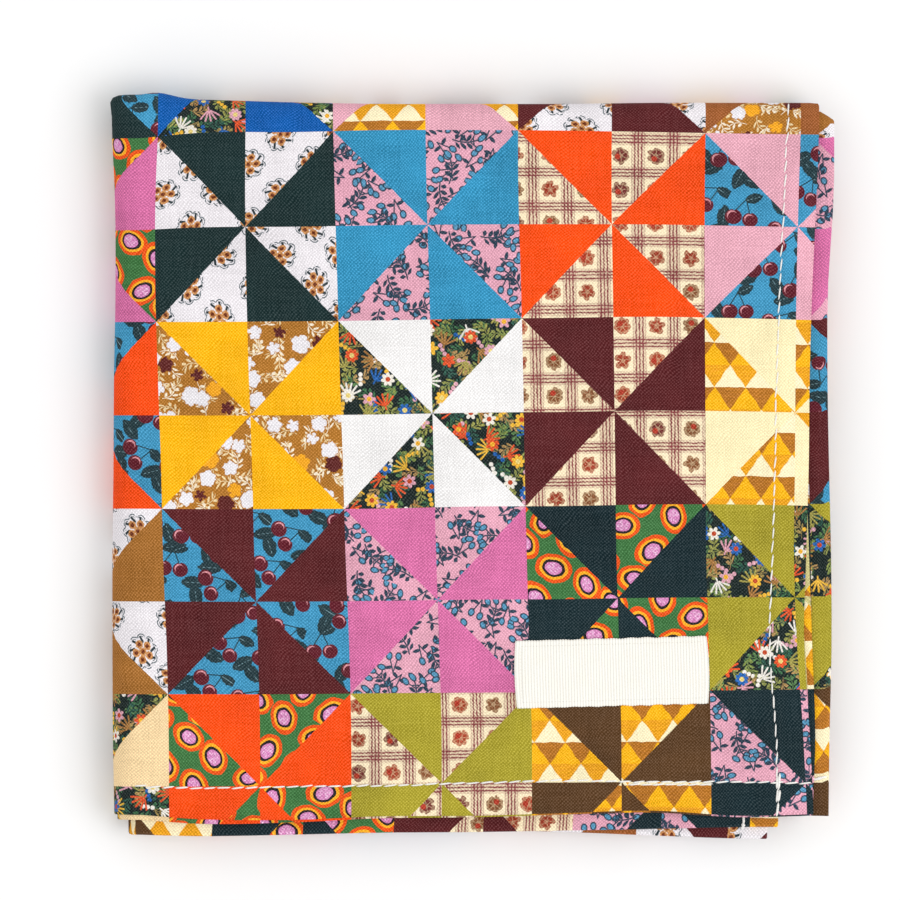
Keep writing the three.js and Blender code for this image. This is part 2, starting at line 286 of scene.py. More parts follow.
def across_lines(y, row):
    """Places across the open cloth of every line of the grid, for rows that lie at height y over their
    leaf."""
    mirror = 2 * HALF_CREASE - TURN_TWO
    foot = np.where((row == 1) | (row == 2), (REACH - y) / (2 * REACH), 0)
    left = mirror - RIGHT - each_own(ALONG_Y, LEFT_HEM, row, y)
    right = RIGHT + each_own(ALONG_Y, RIGHT_HEM, row, y)
    crease = left_crease(y)
    inner = {n: mirror - (at + foot * (LEAF_FIVE_LINES[n] - at)) for n, at in LEAF_THREE_LINES.items()}
    outer = {}
    for n, places in UPRIGHT_LINES.items():
        if n in LEAF_SEVEN_LINES:
            outer[n] = along(places, y) * (1 - foot) + LEAF_SEVEN_LINES[n] * foot
    hidden = {n: outer[0] + (inner[-9] - outer[0]) * n / -9 for n in range(-8, 0)}
    stitch = along(SIDE_STITCH, y) + right - RIGHT - along(ALONG_Y["leaf 1"], y)
    half = np.minimum(stitch + along(UPRIGHT_LINES[3.5], y) - along(SIDE_STITCH, y), right - 1)
    hem_line = left + HEM_LINE[0] * foot + HEM_LINE[1] * (1 - foot)
    roll = mirror - crease
    return [
        left, hem_line, left + HEM, inner[-11], inner[-10], inner[-9],
        roll, np.minimum(hidden[-8], roll + TURN_FOUR - 2), roll + TURN_FOUR, hidden[-7], hidden[-6],
        hidden[-5],
        HALF_CREASE - TURN_TWO + 0 * y, HALF_CREASE + 0 * y, hidden[-4], hidden[-3], hidden[-2],
        hidden[-1], crease - TURN_FOUR, crease, outer[0], outer[1], outer[2], outer[3],
        stitch - 1.6, stitch, stitch + 1.4, half, right,
    ]


def along_lines(x, column):
    """Places along the open cloth of every line of the grid, for points that lie at x over their leaf in a
    column."""
    crease = far_crease(x)
    middle = mid_crease(x, column)
    mirror = 2 * middle + TURN_ONE
    near = BOTTOM + each_own(ALONG_X, NEAR_HEM, column, x)
    far = BOTTOM + each_own(ALONG_X, FAR_HEM, column, x)
    stitch = along(FOOT_STITCH, x) + near - BOTTOM - along(ALONG_X["leaf 1"], x)
    lines = [near, stitch - 1.4, stitch, stitch + 1.6]
    lines += [along(LEVEL_LINES[n], x) for n in (3, 2, 1, 0)]
    lines += [crease, crease + TURN_THREE]
    lines += [2 * crease + TURN_THREE - at for at in ROW_LINES[1].values()]
    lines += [middle, middle + TURN_ONE]
    lines += [mirror - 2 * crease - TURN_THREE + at for at in ROW_LINES[2].values()]
    lines += [mirror - crease - TURN_THREE, mirror - crease]
    lines += [mirror - at for at in ROW_LINES[3].values()]
    return lines + [mirror - far - HEM, mirror - far]


def parts_of(grid):
    """Every station of a grid as the number of its line and the share of the way to the next."""
    parts = [i + np.arange(steps) / steps for i, (_, steps) in enumerate(grid) if steps]
    return np.append(np.concatenate(parts), len(grid) - 1)


def between(lines, part):
    """Points between lines: each a straight share of the way from its line to the next."""
    i = np.minimum(part.astype(int), len(lines) - 2)
    f = part - i
    return np.choose(i, lines[:-1]) * (1 - f) + np.choose(i, lines[1:]) * f


def print_number(at, numbered):
    """Print coordinate of places: from the first line's number, each span between two numbered lines adds
    its share."""
    total = numbered[0][0] + 0 * at
    for (a, p), (b, q) in zip(numbered, numbered[1:]):
        total = total + (b - a) * np.clip((at - p) / (q - p), 0, 1)
    return total


def cloth_grid():
    """The open cloth's grid of places: its flat coordinates, its place over the leaf, its column and its
    print coordinates."""
    part_x, part_y = parts_of(ACROSS), parts_of(ALONG)
    row = np.digitize(part_y, ROW_ENDS)
    column = np.digitize(part_x, COLUMN_ENDS) + 0 * row[:, None]
    leaf_y = np.interp(part_y, np.arange(len(EVEN_ALONG)), EVEN_ALONG)
    lines = [line[:, None] + 0.0 * column for line in across_lines(leaf_y, row)]
    x = between(lines, part_x[None, :] + 0 * column)
    numbered = [(n, line) for (n, _), line in zip(ACROSS, lines) if n is not None]
    foot = np.where((row == 1) | (row == 2), (REACH - leaf_y) / (2 * REACH), 0)[:, None]
    before, turn, last_block, half = (lines[i] for i in STEP_CHANGES)
    numbered.insert(4, (-9 + (turn - before) / BLOCK_WIDE, turn))
    numbered[-1] = (3.5 + foot * ((half - last_block) / BLOCK_WIDE - 0.5), half)
    numbered = [(-13, numbered[0][1] - BLOCK_WIDE), *numbered, (4.5, numbered[-1][1] + BLOCK_WIDE)]
    print_x = print_number(x, numbered)
    leaf_x = over_leaf(x)
    lines = along_lines(leaf_x, column)
    y = between(lines, part_y[:, None] + 0 * column)
    numbered = [(n, line) for (n, _), line in zip(ALONG, lines) if n is not None]
    half = along(LEVEL_LINES[3.5], leaf_x)
    numbered = [(4.5, half - BLOCK_LONG), (3.5, half), *numbered, (-13, numbered[-1][1] + BLOCK_LONG)]
    print_y = -print_number(y, numbered)
    return x, y, leaf_y[:, None] + 0.0 * x, column, print_x, print_y


def piece_of(name, points, faces):
    """A mesh object at the origin from points in millimetres and four-sided faces."""
    mesh = bpy.data.meshes.new(name)
    mesh.vertices.add(len(points))
    mesh.vertices.foreach_set("co", (points * MM).astype(np.float32).ravel())
    mesh.loops.add(faces.size)
    mesh.loops.foreach_set("vertex_index", faces.astype(np.int32).ravel())
    mesh.polygons.add(len(faces))
    mesh.polygons.foreach_set("loop_start", np.arange(0, faces.size, 4, dtype=np.int32))
    mesh.polygons.foreach_set("use_smooth", np.ones(len(faces), bool))
    mesh.update(calc_edges=True)
    piece = bpy.data.objects.new(name, mesh)
    bpy.context.scene.collection.objects.link(piece)
    return piece


def rim_of(rows, columns):
    """The outermost points of a grid, once round it, anticlockwise from above."""
    at = np.arange(rows * columns).reshape(rows, columns)
    return np.concatenate([at[0, :-1], at[:-1, -1], at[-1, :0:-1], at[:0:-1, 0]])


def closed_sheet(rows, columns):
    """Faces of a sheet of two grids and the ring of points round its edge: upper grid, lower grid, then
    ring."""
    at = np.arange(rows * columns).reshape(rows, columns)
    upper = np.stack([at[:-1, :-1], at[:-1, 1:], at[1:, 1:], at[1:, :-1]], -1).reshape(-1, 4)
    lower = upper[:, ::-1] + rows * columns
    edge = rim_of(rows, columns)
    ahead = np.roll(edge, -1)
    ring = 2 * rows * columns + np.arange(len(edge))
    on = np.roll(ring, -1)
    rim_up = np.stack([ring, on, ahead, edge], -1)
    rim_down = np.stack([edge + rows * columns, ahead + rows * columns, on, ring], -1)
    return np.concatenate([upper, lower, rim_up, rim_down]), len(upper)


def stacked(x, y, z):
    """Three arrays as one list of points, shifted to the solids' place."""
    return np.stack([x - CENTRE[0], y - CENTRE[1], z], -1).reshape(-1, 3)


def inset(places, by, axis):
    """Places of a grid with the first and last drawn in from the edge."""
    places = places.copy()
    first, last = ((slice(None), 0), (slice(None), -1)) if axis else (0, -1)
    places[first] += by
    places[last] -= by
    return places


# Colours of the plain halves of the blocks
PAINTS = {
    "bright blue": "#005bad",
    "blue": "#3292bd",
    "brown": "#5b3d20",
    "cream": "#fdeebd",
    "butter": "#f7d8a6",
    "dark green": "#152e2f",
    "magenta": "#d870a5",
    "maroon": "#5a1d20",
    "ochre": "#a66c2b",
    "olive": "#a99d2c",
    "pale olive": "#cbc283",
    "orange": "#fa4c02",
    "pink": "#e8abbb",
    "rust": "#9c5a2b",
    "teal": "#12292f",
    "white": "#f2f0ef",
    "yellow": "#ffb800",
}
KINDS = ["posy", "sprig", "plaid", "cherry", "blossom", "meadow", "bunting", "rings"]
# Blocks of the print, from the row that the far edge cuts to the row at the foot: plain colours, then
# small prints
GROUND_ROWS = [
    ["dark green", "bright blue", "pink", "maroon", "rust"],
    ["magenta", "dark green", "blue", "orange", "pink"],
    ["orange", "yellow", "white", "maroon", "cream"],
    ["ochre", "maroon", "magenta", "teal", "olive"],
    ["butter", "orange", "olive", "brown", "teal"],
]
KIND_ROWS = [
    ["cherry", "meadow", "bunting", "posy", "blossom"],
    ["rings", "posy", "sprig", "plaid", "cherry"],
    ["cherry", "blossom", "meadow", "plaid", "bunting"],
    ["posy", "cherry", "sprig", "rings", "meadow"],
    ["meadow", "rings", "plaid", "bunting", "sprig"],
]
FIRST_BLOCK, LAST_BLOCK = -13, 3
# Blocks that show at the inner leaves' edges, by their numbers across and along
EDGE_BLOCKS = {
    (-13, -9): ("ochre", "posy"),
    (-13, -10): ("magenta", "sprig"),
    (-13, -11): ("maroon", "cherry"),
    (-13, -12): ("olive", "meadow"),
    (-13, -13): ("brown", "bunting"),
    (3, -12): ("pale olive", "bunting"),
    (3, -13): ("teal", "sprig"),
    (-9, -5): ("brown", "bunting"),
    (-10, -5): ("teal", "rings"),
    (-11, -5): ("maroon", "plaid"),
    (-12, -5): ("teal", "sprig"),
    (-13, -5): ("ochre", "bunting"),
    (-1, -13): ("butter", "meadow"),
    (0, -13): ("orange", "rings"),
    (1, -13): ("olive", "plaid"),
    (2, -13): ("brown", "bunting"),
    (3, -5): ("maroon", "posy"),
    (2, -5): ("rust", "posy"),
}
MIRRORED_BLOCKS = [(-12, -5), (-13, -5)]


def paint(colour):
    """A colour written as six hexadecimal digits, as linear red, green, blue and a full alpha."""
    levels = [int(colour[i : i + 2], 16) / 255 for i in (1, 3, 5)]
    return (*(v / 12.92 if v < 0.04045 else ((v + 0.055) / 1.055) ** 2.4 for v in levels), 1.0)


def make_cloth():
    """The bandana: upper and lower faces of the folded sheet, half a sheet either side of its middle, and
    its rounded edge."""
    x, y, leaf_y, column, print_x, print_y = cloth_grid()
    rows, columns = x.shape
    inside = inset(x, EDGE_ROUND, 1), inset(y, EDGE_ROUND, 0)
    from_edge = np.minimum(np.minimum(x - x[:, :1], x[:, -1:] - x), np.minimum(y - y[:1], y[-1:] - y))
    hem = HEM_EXTRA * step_up(HEM + 1 - from_edge)
    upper = folded(*inside, SHEET / 2, leaf_y, column)
    lower = folded(*inside, -SHEET / 2 - hem, leaf_y, column)
    middle = folded(x, y, -hem / 2, leaf_y, column)
    on_top = (column == 3) * step_up((far_crease(x) + 2 - y) / 2) * step_up((x - left_crease(leaf_y) + 2) / 2)
    upper = upper[0], upper[1], upper[2] + on_top * stitched(x, y)
    edge = rim_of(rows, columns)
    points = np.concatenate([stacked(*upper), stacked(*lower), stacked(*middle)[edge]])
    faces, a_side = closed_sheet(rows, columns)
    piece = piece_of("printed_cloth", points, faces)
    mesh = piece.data
    spots = np.stack([print_x, print_y], -1).reshape(-1, 2)
    spots = np.concatenate([spots, spots, spots[edge]])[faces]
    block = np.floor(spots.mean(1)).astype(int)
    for i, j in MIRRORED_BLOCKS:
        here = (block[:, 0] == i) & (block[:, 1] == -j - 1)
        spots[here, :, 1] = -2 * j - 1 - spots[here, :, 1]
    mesh.uv_layers.new(name="print").uv.foreach_set("vector", spots.astype(np.float32).ravel())
    block[:, 1] = -block[:, 1] - 1
    ground = np.zeros((len(faces), 4), np.float32)
    kind = np.zeros(len(faces), np.int32)
    for i in range(FIRST_BLOCK, LAST_BLOCK + 1):
        for j in range(FIRST_BLOCK, LAST_BLOCK + 1):
            here = (block[:, 0] == i) & (block[:, 1] == j)
            own = GROUND_ROWS[(j + 1) % 5][(i + 1) % 5], KIND_ROWS[(j + 1) % 5][(i + 1) % 5]
            colour, name = EDGE_BLOCKS.get((i, j), own)
            ground[here] = paint(PAINTS[colour])
            kind[here] = KINDS.index(name)
    mesh.polygons.foreach_set("material_index", kind)
    mesh.attributes.new("ground", "FLOAT_COLOR", "FACE").data.foreach_set("color", ground.ravel())
    wrong = np.zeros(len(faces), np.float32)
    turned_in = from_edge.ravel()[faces[:a_side]].mean(1) < HEM
    wrong[a_side : 2 * a_side] = ~turned_in
    mesh.attributes.new("wrong_side", "FLOAT", "FACE").data.foreach_set("value", wrong)
    return piece


def on_top_leaf(x, y, up):
    """Points on the top leaf at flat places x and y of the open cloth, a height over its upper face."""
    leaf_y = np.minimum(y, FAR_CREASE)
    column = np.full(np.shape(x), 3)
    x, y, z = folded(x, y, SHEET / 2 + up, leaf_y, column)
    return np.stack([x, y, z + stitched(x, y) * step_up((FAR_CREASE + 2 - y) / 2)], -1)


# Sewing thread: points round a stitch and along it, and how far along its first and last points lie
ROUND = 8
LENGTHS = 7
TIP = 0.015


def threads(starts, ends, thick, lift, dip, level=None):
    """Stitches as closed beads of thread, all at once. Along each, the height dips with the sixth power of
    the way out from its middle and the radius shrinks with the eighth, so that the ends round off; round
    it, eight points on a circle. Three faces close each end."""
    count = len(starts)
    t = (np.arange(LENGTHS) + 0.5) / LENGTHS
    t = np.concatenate([[TIP], t[1:-1], [1 - TIP]])
    turn = 2 * np.pi * np.arange(ROUND) / ROUND
    run = ends - starts
    line = starts[:, None] + run[:, None] * t[None, :, None]
    if level is None:
        middle = on_top_leaf(line[..., 0], line[..., 1], 0)
    else:
        middle = np.concatenate([line, np.full((count, LENGTHS, 1), level)], -1)
    out = np.abs(2 * t - 1)
    middle[..., 2] += lift - dip * out**6
    radius = thick[:, None] / 2 * (1 - 0.82 * out**8)
    side = np.stack([-run[:, 1], run[:, 0]], -1) / np.linalg.norm(run, axis=1)[:, None]
    ring = np.zeros((count, LENGTHS, ROUND, 3))
    ring[..., :2] = (side[:, None, None] * (radius[..., None] * np.cos(turn))[..., None])[..., :2]
    ring[..., 2] = radius[..., None] * np.sin(turn)
    points = (middle[:, :, None] + ring).reshape(-1, 3) - np.array([*CENTRE, 0])
    at = np.arange(count * LENGTHS * ROUND).reshape(count, LENGTHS, ROUND)
    ahead = np.roll(at, -1, 2)
    walls = np.stack([at[:, :-1], at[:, 1:], ahead[:, 1:], ahead[:, :-1]], -1).reshape(-1, 4)
    caps = []
    for end, flip in ((at[:, 0], 1), (at[:, -1], -1)):
        for corners in ((0, 1, 2, 7), (2, 3, 6, 7), (3, 4, 5, 6)):
            caps.append(end[:, list(corners)][:, ::flip])
    return points, np.concatenate([walls, *caps])


# Rows of stitches: step and gap, ends along the line, sway, distance aside, and thickness of the thread
SIDE_ROWS = [
    {"pitch": 2.75, "gap": 0.16, "run": (-61.0, 71.5), "seed": 4, "sway": 0.07, "aside": 0, "thick": 0.32},
    {"pitch": 2.7, "gap": -0.1, "run": (-68.3, -60.2), "seed": 5, "sway": 0.06, "aside": 0, "thick": 0.46},
    {"pitch": 2.3, "gap": -0.1, "run": (-65.4, -59.8), "seed": 6, "sway": 0.06, "aside": 0.36, "thick": 0.5},
]
FOOT_ROWS = [
    {"pitch": 2.7, "gap": 0.12, "run": (-66, 66.2), "seed": 7, "sway": 0.07, "aside": 0, "thick": 0.34},
    {"pitch": 2.3, "gap": 0.1, "run": (30.5, 47), "seed": 8, "sway": 0.06, "aside": -0.5, "thick": 0.32},
]
LEAN = 0.12
STITCH_LIFT = 0.1
STITCH_DIP = 0.17
# Thread past the top leaf, on the edges of the third leaf and the fifth: height, then both ends of each
# length
LOOSE_RUNS = [
    (
        9.85,
        [
            (65.3, -61.2, 67.2, -60.9),
            (66.9, -60.9, 69.2, -60.5),
            (66.2, -61.1, 68.4, -60.8),
            (65.2, -61.4, 66.1, -61.0),
        ],
    ),
    (8.3, [(52.9, -68.0, 53.0, -69.7), (52.95, -69.3, 52.7, -70.9), (52.5, -69.9, 53.3, -70.1)]),
]
LOOSE_THICK = 0.5
LOOSE_LIFT = 0.12


def stitch_row(places, row):
    """Ends of a row of stitches along a table's line: even steps of the pitch, each end moved by a seeded
    share of the sway, and each stitch leaning a little."""
    rng = np.random.default_rng(row["seed"])
    begin, finish = row["run"]
    starts = np.arange(begin, finish - row["pitch"] / 2, row["pitch"])
    starts = starts + rng.uniform(-0.12, 0.12, len(starts))
    ends = np.append(starts[1:], finish) - row["gap"] * rng.uniform(0.7, 1.3, len(starts))
    off = [along(places, at) + rng.normal(row["aside"], row["sway"], len(at)) for at in (starts, ends)]
    return np.stack([starts, off[0] - LEAN], -1), np.stack([ends, off[1] + LEAN], -1)


def make_thread():
    """The white sewing thread: a row of stitches along each hem line, the doubled run where the sewing was
    begun and ended, the corner's bunched thread, and the lengths that show on lower leaves."""
    rng = np.random.default_rng(21)
    upright = [[ends[:, ::-1] for ends in stitch_row(SIDE_STITCH, row)] for row in SIDE_ROWS]
    pairs = upright + [stitch_row(FOOT_STITCH, row) for row in FOOT_ROWS]
    starts = np.concatenate([pair[0] for pair in pairs])
    ends = np.concatenate([pair[1] for pair in pairs])
    widths = [np.full(len(pair[0]), row["thick"]) for pair, row in zip(pairs, SIDE_ROWS + FOOT_ROWS)]
    thick = np.concatenate(widths) * rng.uniform(0.92, 1.1, len(starts))
    points, faces = threads(starts, ends, thick, STITCH_LIFT, STITCH_DIP)
    for level, run in LOOSE_RUNS:
        run = np.array(run)
        widths = np.full(len(run), LOOSE_THICK)
        more, more_faces = threads(run[:, :2], run[:, 2:], widths, LOOSE_LIFT, LOOSE_LIFT, level)
        faces = np.concatenate([faces, more_faces + len(points)])
        points = np.concatenate([points, more])
    return piece_of("hem_thread", points, faces)


def make_label():
    """The label: a ribbed tape. Its height is the absolute cosine over each rib and falls at its border,
    with a groove where it is sewn; its long edges scallop with the ribs and its ends bow out at the
    middle."""
    columns, rows = 408, 30
    u = np.linspace(-0.5, 0.5, columns + 1)[None, :] + np.zeros((rows + 1, 1))
    v = np.linspace(-0.5, 0.5, rows + 1)[:, None] + 0 * u
    ribs = np.abs(np.cos(np.pi * u * LABEL["length"] / LABEL["rib"]))
    fray = 0.1 * ribs + 0.05 * waves(u * LABEL["length"], 0 * u, 11, 9, 1.6)
    along_tape = u * LABEL["length"] + 0.35 * np.sign(u) * (2 * np.abs(u)) ** 8 * (1 - (2 * v) ** 2)
    up_tape = v * (LABEL["width"] - 0.25) + np.sign(v) * (2 * np.abs(v)) ** 6 * fray
    turn = np.radians(LABEL["askew"])
    x = LABEL["x"] + along_tape * np.cos(turn) - up_tape * np.sin(turn)
    y = LABEL["y"] + along_tape * np.sin(turn) + up_tape * np.cos(turn)
    cloth_z = on_top_leaf(x, y, 0)[..., 2]
    side = np.minimum((0.5 - np.abs(u)) * LABEL["length"], (0.5 - np.abs(v)) * LABEL["width"])
    sunk = 0.1 * bell((side - LABEL["sewn"]) / 0.25)
    swell = 0.16 * step_up(side / 1.6) + 0.05 * waves(x, y, 13, 8, 7) - sunk
    top = cloth_z + 0.42 + swell + 0.055 * ribs
    under = cloth_z + 0.06
    middle = (top + under) / 2
    edge = rim_of(rows + 1, columns + 1)
    out = stacked(x, y, middle)[edge]
    inner_x, inner_y = x.copy(), y.copy()
    inner_x[:, 0] += 0.1
    inner_x[:, -1] -= 0.1
    points = np.concatenate([stacked(inner_x, inner_y, top), stacked(inner_x, inner_y, under), out])
    faces, _ = closed_sheet(rows + 1, columns + 1)
    piece = piece_of("label_tape", points, faces)
    spots = np.stack([u * LABEL["length"], v * LABEL["width"]], -1).reshape(-1, 2)
    spots = np.concatenate([spots, spots, spots[edge]])
    spots = spots[faces.ravel()].astype(np.float32)
    piece.data.uv_layers.new(name="tape").uv.foreach_set("vector", spots.ravel())
    return piece


class Wire:
    """An output in a shader tree. Arithmetic on it lays out Math nodes."""

    def __init__(self, tree, socket):
        self.tree, self.socket = tree, socket

    def __add__(self, other):
        return self.tree.math("ADD", self, other)

    def __radd__(self, other):
        return self.tree.math("ADD", other, self)

    def __sub__(self, other):
        return self.tree.math("SUBTRACT", self, other)

    def __rsub__(self, other):
        return self.tree.math("SUBTRACT", other, self)

    def __mul__(self, other):
        return self.tree.math("MULTIPLY", self, other)

    def __rmul__(self, other):
        return self.tree.math("MULTIPLY", other, self)

    def __truediv__(self, other):
        return self.tree.math("DIVIDE", self, other)

    def __rtruediv__(self, other):
        return self.tree.math("DIVIDE", other, self)

    def __abs__(self):
        return self.tree.math("ABSOLUTE", self)


class Tree:
    """A shader tree being laid out, node by node."""

    def __init__(self, tree):
        self.tree = tree
        self.count = 0

    def node(self, kind, settings=None, **inputs):
        """A new node with its settings, its named inputs fed. An underscore in a name stands for a
        space."""
        made = self.tree.nodes.new(kind)
        made.location = (200 * (self.count % 12), -180 * (self.count // 12))
        self.count += 1
        for name, value in (settings or {}).items():
            setattr(made, name, value)
        for name, value in inputs.items():
            self.feed(made.inputs[name.replace("_", " ")], value)
        return made

    def feed(self, socket, value):
        """Links a wire to a socket, or sets the socket to a constant."""
        if isinstance(value, Wire):
            self.tree.links.new(value.socket, socket)
        elif value is not None:
            socket.default_value = value

    def out(self, made, name=0):
        """One output of a node, as a wire."""
        return Wire(self, made.outputs[name])

    def math(self, operation, *values, clamp=False):
        """The result of arithmetic on numbers."""
        made = self.node("ShaderNodeMath", {"operation": operation, "use_clamp": clamp})
        for socket, value in zip(made.inputs, values):
            self.feed(socket, value)
        return self.out(made)

    def vector(self, operation, *values, scale=None):
        """The result of arithmetic on vectors."""
        made = self.node("ShaderNodeVectorMath", {"operation": operation})
        for socket, value in zip(made.inputs, values):
            self.feed(socket, value)
        if scale is not None:
            self.feed(made.inputs["Scale"], scale)
        return self.out(made, "Value" if operation in ("LENGTH", "DOT_PRODUCT", "DISTANCE") else "Vector")

    def least(self, *values):
        """The least of several values: of distances, the shapes joined."""
        total = values[0]
        for value in values[1:]:
            total = self.math("MINIMUM", total, value)
        return total

    def most(self, *values):
        """The greatest of several values: of distances, what the shapes share."""
        total = values[0]
        for value in values[1:]:
            total = self.math("MAXIMUM", total, value)
        return total

    def split(self, vector):
        """A vector's three parts."""
        made = self.node("ShaderNodeSeparateXYZ", Vector=vector)
        return self.out(made, 0), self.out(made, 1), self.out(made, 2)

    def join(self, x, y, z=0.0):
        """A vector from its parts."""
        return self.out(self.node("ShaderNodeCombineXYZ", X=x, Y=y, Z=z))

    def turned(self, vector, angle):
        """A vector turned about the upright axis."""
        made = self.node("ShaderNodeVectorRotate", {"rotation_type": "Z_AXIS"}, Vector=vector, Angle=angle)
        return self.out(made)

    def noise(self, vector, scale, detail=1.0, roughness=0.5):
        """Flat noise between nought and one."""
        inputs = {"Vector": vector, "Scale": scale, "Detail": detail, "Roughness": roughness}
        made = self.node("ShaderNodeTexNoise", {"noise_dimensions": "2D"}, **inputs)
        return self.out(made, "Fac")

    def mix(self, share, a, b):
        """Colour a, with b over it by the share."""
        made = self.node("ShaderNodeMix", {"data_type": "RGBA", "clamp_factor": True})
        self.feed(made.inputs[0], share)
        self.feed(made.inputs[6], a)
        self.feed(made.inputs[7], b)
        return self.out(made, 2)

    def picked(self, chance, colours):
        """One of several colours, each for an equal share of the chance."""
        bands = [((i + 1) / len(colours), colour) for i, colour in enumerate(colours)]
        return self.banded(chance, bands)

    def banded(self, value, bands):
        """Colours by value: each band is the value up to which its colour goes."""
        made = self.node("ShaderNodeValToRGB", Fac=value)
        ramp = made.color_ramp
        ramp.interpolation = "CONSTANT"
        start = 0.0
        for i, (end, colour) in enumerate(bands):
            stop = ramp.elements[i] if i < 2 else ramp.elements.new(start)
            stop.position = start
            stop.color = paint(colour)
            start = end
        return self.out(made)

    def group(self, name, **inputs):
        """A node group put to use: its outputs by name."""
        made = self.node("ShaderNodeGroup", {"node_tree": bpy.data.node_groups[name]}, **inputs)
        return {o.name: Wire(self, o) for o in made.outputs}

    # Shapes, as distances from their edges in millimetres, less than nothing inside

    def disc(self, spot, centre, radius):
        """From the centre, less the radius."""
        return self.vector("DISTANCE", spot, (*centre, 0)) - radius

    def oval(self, spot, centre, wide, long, turn=0.0):
        """A disc's distance after a squeeze each way, by the lesser half width."""
        moved = self.vector("SUBTRACT", spot, (*centre, 0))
        if turn:
            moved = self.turned(moved, -turn)
        shrunk = self.vector("MULTIPLY", moved, (1 / wide, 1 / long, 1))
        return (self.vector("LENGTH", shrunk) - 1.0) * min(wide, long)

    def stroke(self, spot, start, end, wide):
        """A line with round ends: from its nearest point, less half its width."""
        run = (end[0] - start[0], end[1] - start[1], 0)
        moved = self.vector("SUBTRACT", spot, (*start, 0))
        square = run[0] ** 2 + run[1] ** 2
        share = self.math("DIVIDE", self.vector("DOT_PRODUCT", moved, run), square, clamp=True)
        near = self.vector("SCALE", run, scale=share)
        return self.vector("DISTANCE", moved, near) - wide / 2

    def leaf(self, spot, centre, long, wide, turn):
        """A pointed leaf: where two equal discs overlap."""
        moved = self.turned(self.vector("SUBTRACT", spot, (*centre, 0)), -turn)
        radius = (long**2 + wide**2) / (4 * wide)
        aside = self.vector("ADD", self.vector("ABSOLUTE", moved), (0, radius - wide / 2, 0))
        return self.vector("DISTANCE", self.vector("MULTIPLY", aside, (1, 1, 0)), (0, 0, 0)) - radius

    def filled(self, distance, soft=0.1):
        """Share of ink for a distance: full inside the shape, none outside, over a soft edge."""
        return self.math("MULTIPLY_ADD", distance, -1 / soft, 0.5, clamp=True)


def new_group(name, inputs, outputs):
    """A shader node group with named sockets: its tree, and its inputs as wires."""
    tree = bpy.data.node_groups.new(name, "ShaderNodeTree")
    kinds = {"value": "NodeSocketFloat", "vector": "NodeSocketVector", "colour": "NodeSocketColor"}
    for socket, kind in inputs.items():
        tree.interface.new_socket(name=socket, in_out="INPUT", socket_type=kinds[kind])
    for socket, kind in outputs.items():
        tree.interface.new_socket(name=socket, in_out="OUTPUT", socket_type=kinds[kind])
    laid = Tree(tree)
    given = laid.node("NodeGroupInput")
    return laid, {o.name: Wire(laid, o) for o in given.outputs if o.name}


def end_group(laid, **outputs):
    """Feeds a group's named outputs and ends it."""
    ends = laid.node("NodeGroupOutput")
    for name, value in outputs.items():
        laid.feed(ends.inputs[name.replace("_", " ")], value)


def make_print_places():
    """Places on the printed cloth. The pinwheel's solid halves are where the spot is nearer level than
    upright in the squares that rise to the right, and the other way round in the rest."""
    gives = {"Place": "vector", "Solid": "value", "Ground": "colour", "Wrong Side": "value"}
    t, _ = new_group("print_places", {}, gives)
    numbers = t.out(t.node("ShaderNodeUVMap", {"uv_map": "print"}))
    place = t.vector("MULTIPLY", numbers, (BLOCK_WIDE, BLOCK_LONG, 0))
    shake = t.noise(place, 1.1, 1.0)
    x, y, _z = t.split(t.vector("FRACTION", numbers))
    a, b = x * 2.0 - 1.0, y * 2.0 - 1.0
    side = (abs(a) - abs(b) + (shake - 0.5) * 0.014) * (a * b)
    solid = t.math("GREATER_THAN", side, 0.0)
    ground = t.out(t.node("ShaderNodeAttribute", {"attribute_name": "ground"}), "Color")
    wrong = t.out(t.node("ShaderNodeAttribute", {"attribute_name": "wrong_side"}), "Fac")
    end_group(t, Place=place, Solid=solid, Ground=ground, Wrong_Side=wrong)


def make_motif_places():
    """Scattered places for a motif: the nearest point of a slanted, shaken square lattice, the spot seen
    from it and turned by chance."""
    takes = {"Place": "vector", "Pitch": "value", "Slant": "value", "Scatter": "value", "Turn": "value"}
    gives = {"Local": "vector", "Chance": "value", "Other Chance": "value"}
    t, given = new_group("motif_places", takes, gives)
    slanted = t.turned(given["Place"], given["Slant"])
    lattice = {"Vector": slanted, "Scale": 1.0 / given["Pitch"], "Randomness": given["Scatter"]}
    cells = t.node("ShaderNodeTexVoronoi", {"voronoi_dimensions": "2D"}, **lattice)
    local = t.vector("SUBTRACT", slanted, t.out(cells, "Position"))
    colour = t.node("ShaderNodeSeparateColor", Color=t.out(cells, "Color"))
    turn = (t.out(colour, 0) - 0.5) * 2.0 * given["Turn"]
    flat = t.vector("MULTIPLY", t.turned(local, turn), (1, 1, 0))
    end_group(t, Local=flat, Chance=t.out(colour, 1), Other_Chance=t.out(colour, 2))


def make_fold_round():
    """A spot folded round the middle, so that one petal drawn to the right becomes a ring of them: its
    distance out is kept and its angle is measured from the nearest of the count's directions."""
    t, given = new_group("fold_round", {"Spot": "vector", "Count": "value"}, {"Folded": "vector"})
    x, y, _z = t.split(given["Spot"])
    share = t.math("ARCTAN2", y, x) * given["Count"] / (2 * np.pi)
    left = (share - t.math("ROUND", share)) * (2 * np.pi) / given["Count"]
    out = t.vector("LENGTH", given["Spot"])
    end_group(t, Folded=t.join(out * t.math("COSINE", left), out * t.math("SINE", left)))


# Weave: width of a thread, brightness of even cloth, and how much white the crowns get, partly pale bare
# fibre and partly painted highlight
THREAD = 0.34
EVEN_SHADE = 0.966
FIBRE_AND_HIGHLIGHT_WHITE = 0.03


